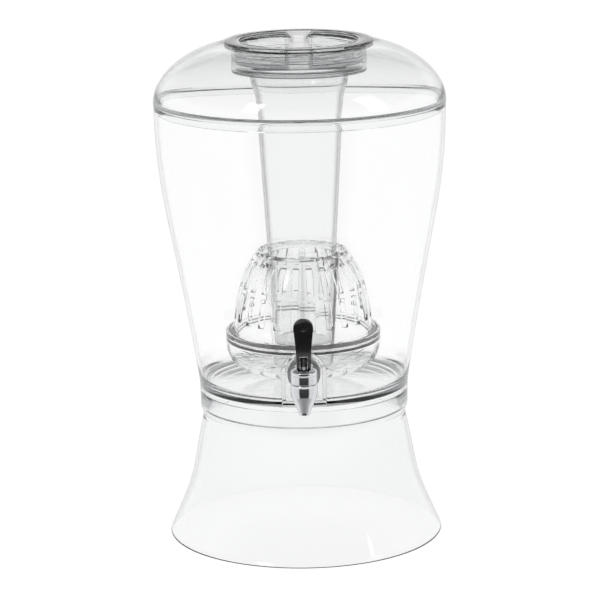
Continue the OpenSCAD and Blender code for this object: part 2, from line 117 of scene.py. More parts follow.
class Graph:
    """A material's node tree with its Principled shader."""

    def __init__(self, name: str) -> None:
        """Make an empty material that ends in a Principled BSDF.

        Args:
            name: the material's name.
        """
        self.material = bpy.data.materials.new(name)
        self.material.use_nodes = True
        self.tree = self.material.node_tree
        self.tree.nodes.clear()
        self.output = self.tree.nodes.new("ShaderNodeOutputMaterial")
        self.shader = self.tree.nodes.new("ShaderNodeBsdfPrincipled")
        self.tree.links.new(self.shader.outputs[0], self.output.inputs["Surface"])

    def node(self, kind: str, settings: dict, inputs: dict, output: int | str = 0) -> Socket:
        """Add a node.

        Args:
            kind: the node's type.
            settings: properties that are set first, such as a Math node's operation.
            inputs: values or links, by the socket's name or number.
            output: which output to return.

        Returns:
            The chosen output.
        """
        made = self.tree.nodes.new(kind)
        for key, value in settings.items():
            setattr(made, key, value)
        for key, value in inputs.items():
            if isinstance(value, Socket):
                self.tree.links.new(value.link, made.inputs[key])
            else:
                made.inputs[key].default_value = value
        return Socket(self, made.outputs[output])

    def place(self) -> Socket:
        """Object coordinates, in metres."""
        return self.node("ShaderNodeTexCoord", {}, {}, "Object")

    def noise(self, scale: float, detail: float = 2.0, stretch: Point | None = None) -> Socket:
        """Noise over object coordinates.

        Args:
            scale: features per metre.
            detail: octaves.
            stretch: factors across and along the vertical axis.

        Returns:
            The noise's value, about 0.5 on average.
        """
        vector = self.place()
        if stretch:
            across, along = stretch
            vector = self.node("ShaderNodeMapping", {}, {"Vector": vector,
                                                         "Scale": (across, across, along)})
        return self.node("ShaderNodeTexNoise", {}, {"Vector": vector, "Scale": scale,
                                                    "Detail": detail})

    def bump(self, height: Socket, depth: float) -> None:
        """Feed a Bump node to the shader's normal.

        Args:
            height: the relief, from 0 to 1.
            depth: how deep the relief is, in metres.
        """
        made = self.node("ShaderNodeBump", {}, {"Height": height, "Distance": depth,
                                                "Strength": 1.0}, "Normal")
        self.feed("Normal", made)

    def feed(self, name: str, value: "Socket | float | tuple") -> None:
        """Link or set one of the shader's sockets.

        Args:
            name: the socket's name.
            value: what to link to it, or its own value.
        """
        if isinstance(value, Socket):
            self.tree.links.new(value.link, self.shader.inputs[name])
        else:
            self.shader.inputs[name].default_value = value

    def tint(self, mask: Socket, low: tuple, high: tuple) -> Socket:
        """Mix two colours.

        Args:
            mask: how much of the second colour there is, from 0 to 1.
            low: the colour where the mask is 0.
            high: the colour where the mask is 1.

        Returns:
            The mixed colour.
        """
        return self.node("ShaderNodeMix", {"data_type": "RGBA"},
                         {"Factor": mask, 6: (*low, 1), 7: (*high, 1)}, 2)


# ---------------------------------------------------------------- finishes


@dataclass(frozen=True)
class ClearPlastic:
    """Moulded clear plastic: it refracts, is faintly wavy and dims what is seen through its depth.

    A wall that is seen almost edge on is painted grey in its Base Color: painted shade that stands
    in for the dark edge of a clear moulding.
    """

    name: str
    absorbs: float = 9.0
    waviness: float = 0.00006
    wave_scale: float = 45.0
    haze: float = 0.012
    index: float = 1.49
    edge_shade_start: float = 0.79
    edge_shade_full: float = 0.92
    edge_shade_colour: tuple = (0.12, 0.1224, 0.1236)
    depth_colour: tuple = (0.47, 0.5, 0.51, 1.0)

    def build(self) -> bpy.types.Material:
        """Make the material.

        Returns:
            The material.
        """
        g = Graph(self.name)
        g.feed("Transmission Weight", 1.0)
        g.feed("IOR", self.index)
        # Painted shade: the Base Color goes from white towards dark grey as the wall turns edge on
        # to the view.
        glancing = g.node("ShaderNodeLayerWeight", {}, {"Blend": 0.5}, "Facing")
        rim = ((glancing - self.edge_shade_start) * (1 / (self.edge_shade_full - self.edge_shade_start))).clamped()
        g.feed("Base Color", g.tint(rim, (1.0, 1.0, 1.0), self.edge_shade_colour))
        smear = g.noise(16.0, 3.0)
        fine = g.noise(420.0, 2.0, (1.0, 0.25))
        g.feed("Roughness", (smear - 0.42).clamped() * self.haze * 3 + self.haze * 0.3 * fine)
        g.bump(g.noise(self.wave_scale, 1.0, (1.0, 0.45)), self.waviness)
        body = g.node("ShaderNodeVolumeAbsorption", {}, {
            "Color": self.depth_colour, "Density": self.absorbs / self.depth_colour[2]}, "Volume")
        g.tree.links.new(body.link, g.output.inputs["Volume"])
        return g.material


@dataclass(frozen=True)
class Plated:
    """Bright plated or polished metal with faint polishing lines."""

    name: str
    colour: tuple = (0.66, 0.67, 0.69)
    polish: float = 0.05
    lines: float = 0.000004

    def build(self) -> bpy.types.Material:
        """Make the material.

        Returns:
            The material.
        """
        g = Graph(self.name)
        g.feed("Metallic", 1.0)
        cloud = g.noise(60.0, 3.0)
        worn = (cloud - 0.45).clamped()
        low = tuple(c * 0.93 for c in self.colour)
        g.feed("Base Color", g.tint(worn * 2, self.colour, low))
        g.feed("Roughness", worn * 0.18 + self.polish)
        g.bump(g.noise(900.0, 2.0, (0.15, 3.0)), self.lines)
        return g.material


@dataclass(frozen=True)
class Moulded:
    """Opaque moulded plastic or rubber with a fine skin."""

    name: str
    colour: tuple
    gloss: float
    grain: float = 0.00001
    grain_scale: float = 700.0
    coat: float = 0.0

    def build(self) -> bpy.types.Material:
        """Make the material.

        Returns:
            The material.
        """
        g = Graph(self.name)
        cloud = g.noise(55.0, 3.0)
        lift = tuple(min(1.0, c * 1.25 + 0.004) for c in self.colour)
        g.feed("Base Color", g.tint(cloud, self.colour, lift))
        rub = (g.noise(170.0, 4.0) - 0.5).clamped()
        g.feed("Roughness", rub * 0.5 + self.gloss)
        g.feed("Coat Weight", self.coat)
        g.feed("Coat Roughness", 0.06)
        g.bump(g.noise(self.grain_scale, 2.0), self.grain)
        return g.material


class Finish(Enum):
    """The finishes that pieces take, by the record's material slot."""

    SHELL = ("clear_acrylic", ClearPlastic("shell_acrylic"))
    LID = ("clear_acrylic", ClearPlastic("lid_acrylic", 26.0))
    SLEEVE = ("clear_acrylic", ClearPlastic("sleeve_acrylic", 12.0, edge_shade_start=0.52, edge_shade_full=0.84))
    INSERT = ("clear_acrylic", ClearPlastic("insert_acrylic", 6.0, 0.00003, 60.0, 0.01,
                                              edge_shade_start=0.8))
    BOWL = ("clear_acrylic", ClearPlastic("bowl_acrylic", 3.0, 0.0002, 90.0, 0.015,
                                          edge_shade_start=0.84, edge_shade_full=0.96))
    STAND = ("clear_acrylic", ClearPlastic("stand_acrylic", 22.0, 0.00003, 30.0, 0.008))
    SOFT_CLEAR = ("clear_silicone", ClearPlastic("washer_silicone", 20.0, 0.0001, 200.0, 0.1, 1.41))
    SILICONE = ("white_silicone", Moulded("seal_silicone", (0.80, 0.81, 0.81), 0.42))
    RUBBER = ("black_rubber", Moulded("stem_rubber", (0.02, 0.02, 0.02), 0.5))
    CHROME = ("chrome", Plated("tap_chrome"))
    STEEL = ("steel", Plated("brushed_steel", (0.62, 0.63, 0.64), 0.18, 0.00001))
    LEVER = ("black_plastic", Moulded("lever_plastic", (0.004, 0.004, 0.005), 0.22, coat=0.3))
    NYLON = ("white_nylon", Moulded("nut_nylon", (0.83, 0.83, 0.80), 0.38))

    def __init__(self, slot: str, recipe: "ClearPlastic | Plated | Moulded") -> None:
        """Keep the slot's name and the recipe."""
        self.slot = slot
        self.recipe = recipe

    def material(self) -> bpy.types.Material:
        """The material, made when first asked for."""
        return bpy.data.materials.get(self.recipe.name) or self.recipe.build()


# ---------------------------------------------------------------- shapes


def curve(p0: Point, p1: Point, p2: Point, p3: Point, count: int = 24) -> list[Point]:
    """Points along a cubic curve.

    Args:
        p0: where it starts.
        p1: the point that it heads for at its start.
        p2: the point that it comes from at its end.
        p3: where it ends.
        count: number of steps.

    Returns:
        The points, both ends included.
    """
    points = []
    for i in range(count + 1):
        t = i / count
        s = 1 - t
        weights = (s * s * s, 3 * s * s * t, 3 * s * t * t, t * t * t)
        points.append(tuple(sum(w * p[k] for w, p in zip(weights, (p0, p1, p2, p3)))
                            for k in (0, 1)))
    return points


def shifted(points: list[Point], across: float) -> list[Point]:
    """The points moved outwards."""
    return [(r + across, z) for r, z in points]


def arc(radius: float, steps: int, turn: float = math.pi) -> list[Point]:
    """Points round a part of a circle about 0, from +X on, both ends included."""
    return [(radius * math.cos(turn * k / steps), radius * math.sin(turn * k / steps))
            for k in range(steps + 1)]


def eased(points: list[tuple], steps: int = 3) -> list[Point]:
    """A closed outline with the corners that carry a third number rounded to that radius.

    Args:
        points: (radius, height) or (radius, height, rounding) in order round the outline.
        steps: segments in each rounded corner.

    Returns:
        The outline's points.
    """
    out = []
    for i, here in enumerate(points):
        if len(here) < 3 or here[2] <= 0:
            out.append((here[0], here[1]))
            continue
        corner = Vector(here[:2])
        before = Vector(points[i - 1][:2]) - corner
        after = Vector(points[(i + 1) % len(points)][:2]) - corner
        reach = min(here[2], before.length * 0.48, after.length * 0.48)
        start = corner + before.normalized() * reach
        end = corner + after.normalized() * reach
        for k in range(steps + 1):
            t = k / steps
            p = start * (1 - t) ** 2 + corner * 2 * t * (1 - t) + end * t * t
            out.append((p.x, p.y))
    return out


def spun(outline: list[Point], steps: int = 144, at: Vector | None = None) -> bmesh.types.BMesh:
    """Spin a closed outline, in millimetres, about the vertical through a point.

    Args:
        outline: (radius, height) in order round the section.
        steps: segments in the full turn.
        at: a point on the axis, in metres.

    Returns:
        A closed shell, in metres.
    """
    bm = bmesh.new()
    verts = [bm.verts.new((max(r, 0.0) * MM, 0.0, z * MM)) for r, z in outline]
    edges = [bm.edges.new((a, b)) for a, b in zip(verts, verts[1:] + verts[:1])
             if a.co.x > 1e-7 or b.co.x > 1e-7]
    bmesh.ops.spin(bm, geom=verts + edges, cent=(0, 0, 0), axis=(0, 0, 1), angle=FULL_TURN,
                   steps=steps, use_merge=True)
    bmesh.ops.remove_doubles(bm, verts=bm.verts, dist=1e-6)
    bmesh.ops.recalc_face_normals(bm, faces=bm.faces)
    if at:
        bmesh.ops.translate(bm, verts=bm.verts, vec=at)
    return bm


def helix(section: list[Point], lead: float, turns: float, steps: int = 64) -> bmesh.types.BMesh:
    """Wind a closed section, in millimetres, upwards about the vertical axis.

    Args:
        section: (radius, height) round the rib's section, anticlockwise.
        lead: rise of one turn.
        turns: number of turns.
        steps: segments in a turn.

    Returns:
        The closed rib, in metres.
    """
    bm = bmesh.new()
    verts = [bm.verts.new((r * MM, 0.0, z * MM)) for r, z in section]
    face = bm.faces.new(verts)
    count = int(turns * steps)
    bmesh.ops.spin(bm, geom=[*verts, *face.edges, face], cent=(0, 0, 0), axis=(0, 0, 1),
                   angle=FULL_TURN * count / steps, steps=count,
                   dvec=(0, 0, lead * MM / steps))
    bmesh.ops.recalc_face_normals(bm, faces=bm.faces)
    return bm


def prism(outline: list[Point], depth: float, rounding: float = 0.0) -> bmesh.types.BMesh:
    """Extrude a flat outline along +Z.

    Args:
        outline: its points, in metres.
        depth: how far it goes, in metres.
        rounding: how far the far rim is rounded off.

    Returns:
        The closed solid.
    """
    bm = bmesh.new()
    face = bm.faces.new([bm.verts.new((x, y, 0.0)) for x, y in outline])
    made = bmesh.ops.extrude_face_region(bm, geom=[face])["geom"]
    top = [v for v in made if isinstance(v, bmesh.types.BMVert)]
    bmesh.ops.translate(bm, verts=top, vec=(0, 0, depth))
    bmesh.ops.recalc_face_normals(bm, faces=bm.faces)
    if rounding > 0:
        rim = [e for e in bm.edges if all(abs(v.co.z - depth) < 1e-7 for v in e.verts)]
        bmesh.ops.bevel(bm, geom=rim, offset=rounding, segments=3, profile=0.5,
                        affect="EDGES", material=-1)
    return bm


def block(size: tuple, place: tuple, turn: float = 0.0,
          rounding: float = 0.0) -> bmesh.types.BMesh:
    """Make a box.

    Args:
        size: its size along X, Y and Z, in metres.
        place: its centre.
        turn: how far the placed box is then turned about the vertical axis through 0.
        rounding: how far its edges are rounded off.

    Returns:
        The closed box.
    """
    bm = bmesh.new()
    bmesh.ops.create_cube(bm, size=1.0)
    bmesh.ops.scale(bm, vec=size, verts=bm.verts)
    if rounding > 0:
        bmesh.ops.bevel(bm, geom=bm.edges[:], offset=rounding, segments=2, profile=0.5,
                        affect="EDGES", material=-1)
    bmesh.ops.translate(bm, vec=place, verts=bm.verts)
    bmesh.ops.rotate(bm, verts=bm.verts, cent=(0, 0, 0), matrix=Matrix.Rotation(turn, 3, "Z"))
    return bm


def laid(bm: bmesh.types.BMesh, degrees: float, axis: str, move: tuple) -> bmesh.types.BMesh:
    """Turn a bmesh about an axis through the origin and then move it.

    Args:
        bm: the bmesh, which is changed.
        degrees: how far to turn it.
        axis: "X", "Y" or "Z".
        move: how far to move it, in metres.

    Returns:
        The same bmesh.
    """
    bmesh.ops.rotate(bm, verts=bm.verts, cent=(0, 0, 0),
                     matrix=Matrix.Rotation(math.radians(degrees), 3, axis))
    bmesh.ops.translate(bm, verts=bm.verts, vec=move)
    return bm


def rod(radius: float, length: float, place: Vector, turn_about: str) -> bmesh.types.BMesh:
    """Make a round bar that lies flat.

    Args:
        radius: its radius, in metres.
        length: its length.
        place: its centre.
        turn_about: the axis that it is laid over about, "X" for a bar along Y, "Y" for one along X.

    Returns:
        The closed bar.
    """
    bm = bmesh.new()
    bmesh.ops.create_cone(bm, cap_ends=True, segments=48, radius1=radius, radius2=radius,
                          depth=length)
    return laid(bm, 90, turn_about, place)


def joined(*parts: bmesh.types.BMesh) -> bmesh.types.BMesh:
    """Put several bmeshes into one.

    Args:
        parts: the bmeshes, which are freed.

    Returns:
        The whole.
    """
    whole = bmesh.new()
    for part in parts:
        mesh = bpy.data.meshes.new("part")
        part.to_mesh(mesh)
        part.free()
        whole.from_mesh(mesh)
        bpy.data.meshes.remove(mesh)
    return whole


def as_object(name: str, bm: bmesh.types.BMesh) -> bpy.types.Object:
    """Put a bmesh into the scene as an object at the origin.

    Args:
        name: the object's name.
        bm: its shape, which is freed.

    Returns:
        The object.
    """
    mesh = bpy.data.meshes.new(name)
    bm.to_mesh(mesh)
    bm.free()
    made = bpy.data.objects.new(name, mesh)
    bpy.context.collection.objects.link(made)
    return made


class Cut(Enum):
    """How one solid acts on another."""

    ADD = "UNION"
    TAKE = "DIFFERENCE"
    KEEP = "INTERSECT"


def carve(target: bpy.types.Object, tool: bmesh.types.BMesh, how: Cut) -> None:
    """Work one solid on an object and apply the result.

    Args:
        target: the object, which is changed.
        tool: the solid, which is freed.
        how: whether the solid is added, taken away or all that is kept.
    """
    helper = as_object("tool", tool)
    step = target.modifiers.new("cut", "BOOLEAN")
    step.operation = how.value
    step.solver = "MANIFOLD"
    step.object = helper
    bake(target)
    bpy.data.objects.remove(helper, do_unlink=True)


def bake(target: bpy.types.Object) -> None:
    """Apply every modifier on an object.

    Args:
        target: the object, which is changed.
    """
    graph = bpy.context.evaluated_depsgraph_get()
    mesh = bpy.data.meshes.new_from_object(target.evaluated_get(graph))
    old = target.data
    target.modifiers.clear()
    target.data = mesh
    mesh.name = target.name
    bpy.data.meshes.remove(old)


def finish_piece(piece: bpy.types.Object, body: str, finish: Finish, *nodes: str,
                 crease: float = 32.0) -> bpy.types.Object:
    """Smooth, dress and place a piece on its body.

    Args:
        piece: the object.
        body: the CAD body that it rides on.
        finish: what it is made of.
        nodes: the CAD nodes that it stands for.
        crease: edges sharper than this many degrees stay sharp.

    Returns:
        The piece.
    """
    mesh = piece.data
    mesh.materials.clear()
    mesh.materials.append(finish.material())
    mesh.shade_smooth()
    mesh.set_sharp_from_angle(angle=math.radians(crease))
    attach(piece, body)
    if nodes:
        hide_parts(*nodes)
    log.info("%s rides on %s", piece.name, body)
    return piece


# ---------------------------------------------------------------- sub-assemblies


@dataclass
class Levels:
    """Heights and radii that the pieces share, in millimetres, read from the frame."""

    collar: float
    mouth: float
    neck_top: float
    tip: float
    seat: float
    rim: float
    cup_floor: float
    tap_y: float
    tap_z: float
    pin_z: float
    bonnet_top: float

    @classmethod
    def from_frame(cls) -> "Levels":
        """Read the levels from the boxes of the frame's nodes.

        Returns:
            The levels.
        """
        def low(node: str) -> Vector:
            """The lowest corner of a node's box."""
            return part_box(node)[0] / MM

        def high(node: str) -> Vector:
            """The highest corner of a node's box."""
            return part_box(node)[1] / MM

        pin = (low("lever_pin") + high("lever_pin")) / 2
        washer = (low("outer_washer") + high("outer_washer")) / 2
        seat = low("infuser_dome").z
        return cls(collar=high("base_stand").z, mouth=high("tank").z, neck_top=high("dome_lid").z,
                   tip=low("ice_tube").z, seat=seat, rim=seat + SEAT_DEPTH,
                   cup_floor=low("infuser_cup").z, tap_y=pin.y, tap_z=washer.z, pin_z=pin.z,
                   bonnet_top=high("tap_bonnet").z)

    @property
    def ledge(self) -> float:
        """Height of the ledge in the neck that the ice tube hangs on."""
        return self.neck_top - NECK_H + NECK_WALL


@dataclass
class Stand:
    """The bell that the tank nests in."""

    levels: Levels
    foot_r: float = 133.6
    collar_r: float = 101.2
    wall: float = 2.7
    waist_inset: float = 2.4
    ring_h: float = 16.0
    foot_slope: float = 0.446
    foot_pull: float = 0.53
    waist_slope: float = 0.211
    waist_pull: float = 0.58

    def build(self) -> None:
        """Make the bell."""
        top = self.levels.collar
        waist_z = top - self.ring_h - 10
        waist_r = self.collar_r - self.waist_inset
        foot_reach = self.foot_pull * waist_z
        waist_reach = self.waist_pull * waist_z
        bell = curve((self.foot_r, 0), (self.foot_r - self.foot_slope * foot_reach, foot_reach),
                     (waist_r + self.waist_slope * waist_reach, waist_z - waist_reach),
                     (waist_r, waist_z), 40)
        shoulder = curve((waist_r, waist_z), (waist_r - 0.84, waist_z + 4),
                         (self.collar_r, waist_z + 6), (self.collar_r, waist_z + 12), 12)
        inside = shifted(bell, -self.wall)
        ledge = top - self.ring_h - 0.4
        step_r = waist_r - self.wall
        bore_r = self.collar_r - self.wall
        outline = eased([(*bell[0], 0.9), *bell[1:-1], *shoulder, (self.collar_r, top, 0.7),
                         (bore_r, top, 0.7), (bore_r, ledge, 0.5), (step_r, ledge, 0.8),
                         *reversed(inside[1:]), (*inside[0], 0.9)])
        finish_piece(as_object("stand_bell", spun(outline)), "stand", Finish.STAND, "base_stand")


@dataclass
class Tank:
    """The flared tank with its pad for the tap."""

    levels: Levels
    mouth_r: float = 139.8
    wall: float = 2.8
    wall_slope: float = 0.15
    low_pull: float = 0.585
    high_pull: float = 0.326
    floor_rise: float = 8.3
    floor_t: float = 4.0
    ring_r: float = 98.15
    ring_t: float = 2.8
    ring_h: float = 16.0
    cove: float = 9.0
    pad_w: float = 42.0
    hole_r: float = 8.2

    def side(self) -> list[Point]:
        """Draw the wall's outer curve.

        Returns:
            Its points from the floor to the mouth.
        """
        low = self.levels.collar + self.floor_rise
        high = self.levels.mouth
        reach = self.low_pull * (high - low)
        return curve((SHOULDER_R, low), (SHOULDER_R + self.wall_slope * reach, low + reach),
                     (self.mouth_r, high - self.high_pull * (high - low)), (self.mouth_r, high), 48)

    def cavity(self) -> list[Point]:
        """Draw the inner face.

        Returns:
            Its points from the middle of the floor to the mouth.
        """
        floor = self.levels.collar + self.floor_rise
        reach = SHOULDER_R - self.wall
        cove = [(reach - self.cove * (1 - math.sin(a))
                 + self.wall_slope * self.cove * (1 - math.cos(a)),
                 floor + self.cove * (1 - math.cos(a)))
                for a in (math.radians(k * 10) for k in range(10))]
        wall = [p for p in shifted(self.side(), -self.wall) if p[1] > floor + self.cove + 1]
        return [(0, floor), *cove, *wall]

    def arch(self, inset: float, back: float, rounding: float) -> bmesh.types.BMesh:
        """Make an upright block with an arched top, about the tap's axis.

        Args:
            inset: how far it stays inside the pad on every side, in millimetres.
            back: how far in front of the vertical axis it starts.
            rounding: how far its front rim is rounded off, in metres.

        Returns:
            The closed block.
        """
        r = (self.pad_w / 2 - inset) * MM
        low = (self.levels.collar + self.floor_rise + inset) * MM
        centre = self.levels.tap_z * MM
        over = [(x, centre + z) for x, z in arc(r, 24)]
        outline = prism([(r, low), *over, (-r, low)], (PAD_FACE - inset - back) * MM, rounding)
        return laid(outline, 90, "X", (0, -back * MM, 0))

    def build(self) -> None:
        """Make the tank."""
        floor = self.levels.collar + self.floor_rise
        under = floor - self.floor_t
        ring_in = self.ring_r - self.ring_t
        foot = self.levels.collar - self.ring_h
        cavity = self.cavity()
        side = self.side()
        outline = eased([(0, under), (ring_in, under, 1.2), (ring_in, foot, 0.8),
                         (self.ring_r, foot, 0.8), (self.ring_r, self.levels.collar, 0.5),
                         (SHOULDER_R, self.levels.collar, 1.0), *side[:-1],
                         (*side[-1], 0.8), (*cavity[-1], 0.8), *reversed(cavity[:-1])])
        tank = as_object("tank_shell", spun(outline))
        boss = as_object("pad", self.arch(0.0, SHOULDER_R - 14, 0.0009))
        hollow = [*cavity[:-1], (cavity[-1][0], self.levels.mouth + 5), (0, self.levels.mouth + 5)]
        carve(boss, spun(hollow), Cut.TAKE)
        solid = bmesh.new()
        solid.from_mesh(boss.data)
        bpy.data.objects.remove(boss, do_unlink=True)
        carve(tank, solid, Cut.ADD)
        carve(tank, self.arch(PAD_WALL, SHOULDER_R - 22, 0.0006), Cut.TAKE)
        hole = Vector((0, -PAD_FACE, self.levels.tap_z)) * MM
        carve(tank, rod(self.hole_r * MM, 0.03, hole, "X"), Cut.TAKE)
        finish_piece(tank, "tank_body", Finish.SHELL, "tank")


@dataclass
class Lid:
    """The domed lid with its sunk, threaded neck."""

    levels: Levels
    rim_r: float = 140.2
    height: float = 55.7
    wall: float = 2.6
    spigot_r: float = 136.65
    spigot_h: float = 7.1
    bore_r: float = 61.6
    hole_r: float = 47.6
    land: float = 6.0
    rim_pull: float = 0.557
    inner_pull: float = 0.53

    def build(self) -> None:
        """Make the lid."""
        seam = self.levels.mouth
        top = self.levels.neck_top
        neck_r = self.bore_r + NECK_WALL
        land_r = neck_r + self.land
        crown = top - self.wall
        ledge = self.levels.ledge
        outside = curve((self.rim_r, seam), (self.rim_r, seam + self.rim_pull * self.height),
                        (land_r + 28, top), (land_r, top), 44)
        inside = curve((self.rim_r - self.wall, seam + 5),
                       (self.rim_r - self.wall, seam + self.inner_pull * self.height),
                       (land_r + 27, crown), (land_r - 3, crown), 44)
        spigot_in = self.spigot_r - self.wall
        outline = eased([
            (spigot_in, seam - self.spigot_h, 0.8), (self.spigot_r, seam - self.spigot_h, 0.8),
            (self.spigot_r, seam, 0.3), (*outside[0], 0.5), *outside[1:],
            (self.bore_r, top, 0.6), (self.bore_r, ledge, 0.6), (self.hole_r, ledge, 0.6),
            (self.hole_r, ledge - NECK_WALL, 0.6), (neck_r, ledge - NECK_WALL, 1.4),
            (neck_r, crown, 2.0), *reversed(inside), (spigot_in, seam + 1, 1.5)])
        lid = as_object("lid_dome", spun(outline))
        start = ledge + TUBE_WALL + THREAD_START
        turns = (NECK_H - NECK_WALL - TUBE_WALL - 5) / THREAD_LEAD
        tip_r = self.bore_r - THREAD_RISE
        root_r = self.bore_r + 0.5
        rib = helix([(tip_r, start - 0.67), (root_r, start - 1.4),
                     (root_r, start + 1.4), (tip_r, start + 0.67)], THREAD_LEAD, turns)
        carve(lid, rib, Cut.ADD)
        finish_piece(lid, "lid", Finish.LID, "dome_lid")


@dataclass
class Cap:
    """The screw cap, cup-shaped, with a grip bar across it, and its seal."""

    levels: Levels
    flange_r: float = 71.2
    flange_t: float = 2.7
    wall_r: float = 59.3
    wall: float = 2.8
    cup_h: float = 16.0
    seal_t: float = 1.0
    seal_in: float = 62.0
    seal_out: float = 68.0
    waist: float = 14.6
    flare: float = 26.0
    bar_wall: float = 2.2

    def grip(self, inset: float, low: float, high: float) -> bmesh.types.BMesh:
        """Make a bar across the cap that is narrowest at its middle.

        Args:
            inset: how far it stays inside the grip bar's sides, in millimetres.
            low: height of its underside.
            high: height of its top.

        Returns:
            The closed bar.
        """
        steps = 20
        reach = self.wall_r - 1.2 - inset
        side = []
        for k in range(steps + 1):
            t = 2 * k / steps - 1
            half = (self.waist + (self.flare - self.waist) * t * t) / 2 - inset
            end = math.sqrt(reach * reach - half * half)
            side.append((half * MM, t * end * MM))
        bar = prism(side + [(-x, -y) for x, y in side], (high - low) * MM, 0.0008)
        bmesh.ops.translate(bar, verts=bar.verts, vec=(0, 0, low * MM))
        return bar

    def build(self) -> None:
        """Make the cap and its seal."""
        under = self.levels.neck_top + self.seal_t
        top = under + self.flange_t
        base = under - self.cup_h
        bore = self.wall_r - self.wall
        outline = eased([
            (0, base), (self.wall_r, base, 1.2), (self.wall_r, under, 0.5),
            (self.flange_r, under, 0.7), (self.flange_r, top, 1.3), (bore + 4.4, top, 0.4),
            (bore + 4.0, top - 0.5, 0.3), (bore + 1.6, top - 0.5, 0.3), (bore + 1.2, top, 0.4),
            (bore, top, 0.6), (bore, base + self.wall, 1.5), (0, base + self.wall)])
        cap = as_object("cap_cup", spun(outline))
        carve(cap, self.grip(0.0, base + 0.4, top), Cut.ADD)
        carve(cap, self.grip(self.bar_wall, base - 1, top - self.bar_wall), Cut.TAKE)
        start = self.levels.ledge + TUBE_WALL + THREAD_START + THREAD_LEAD / 2
        turns = (under - 2 - start) / THREAD_LEAD
        tip_r = self.wall_r + THREAD_RISE
        root_r = self.wall_r - 0.5
        rib = helix([(root_r, start - 1.4), (tip_r, start - 0.67),
                     (tip_r, start + 0.67), (root_r, start + 1.4)], THREAD_LEAD, turns)
        carve(cap, rib, Cut.ADD)
        finish_piece(cap, "cap", Finish.INSERT, "screw_cap")
        low = self.levels.neck_top
        seal = spun(eased([(self.seal_in, low, 0.4), (self.seal_out, low, 0.4),
                           (self.seal_out, under, 0.4), (self.seal_in, under, 0.4)]))
        finish_piece(as_object("cap_ring", seal), "cap_ring", Finish.SOFT_CLEAR, "cap_seal")


@dataclass
class IceTube:
    """The tapered tube that hangs in the neck."""

    levels: Levels
    tip_r: float = 27.75
    top_r: float = 41.9
    flare_h: float = 29.0
    throat_r: float = 47.25
    flange_r: float = 59.8
    socket_grip: float = 87.0
    lugs: int = 3

    @property
    def lug_z(self) -> float:
        """Height of the lugs' undersides."""
        return self.levels.tip + self.socket_grip - 10

    def radius(self, z: float) -> float:
        """Outside radius on the taper at a height."""
        share = (z - self.levels.tip) / (self.levels.ledge - self.flare_h - self.levels.tip)
        return self.tip_r + (self.top_r - self.tip_r) * share

    def build(self) -> None:
        """Make the tube."""
        ledge = self.levels.ledge
        taper_top = ledge - self.flare_h
        tip = self.levels.tip
        flare = curve((self.top_r, taper_top), (self.radius(taper_top + 9), taper_top + 9),
                      (self.throat_r, taper_top + 16), (self.throat_r, ledge), 20)
        straight = [(self.radius(z), z) for z in
                    (tip + 5 + (taper_top - tip - 5) * k / 12 for k in range(12))]
        outside = [*straight, *flare]
        inside = shifted(outside, -TUBE_WALL)
        over = ledge + TUBE_WALL
        outline = eased([(0, tip), (self.radius(tip), tip, 4.0), *outside[:-1],
                         (*outside[-1], 0.3), (self.flange_r, ledge, 0.5),
                         (self.flange_r, over, 0.9), (inside[-1][0], over, 0.9),
                         *reversed(inside[:-1]),
                         (self.radius(tip) - TUBE_WALL, tip + TUBE_WALL, 3.0),
                         (0, tip + TUBE_WALL)], 5)
        tube = as_object("ice_sleeve", spun(outline))
        r = self.radius(self.lug_z)
        for k in range(self.lugs):
            lug = block((3.5 * MM, 6 * MM, 4 * MM), ((r + 0.65) * MM, 0, (self.lug_z + 2) * MM),
                        math.pi / 2 + FULL_TURN * k / self.lugs, 0.0004)
            carve(tube, lug, Cut.ADD)
        finish_piece(tube, "lid", Finish.SLEEVE, "ice_tube")


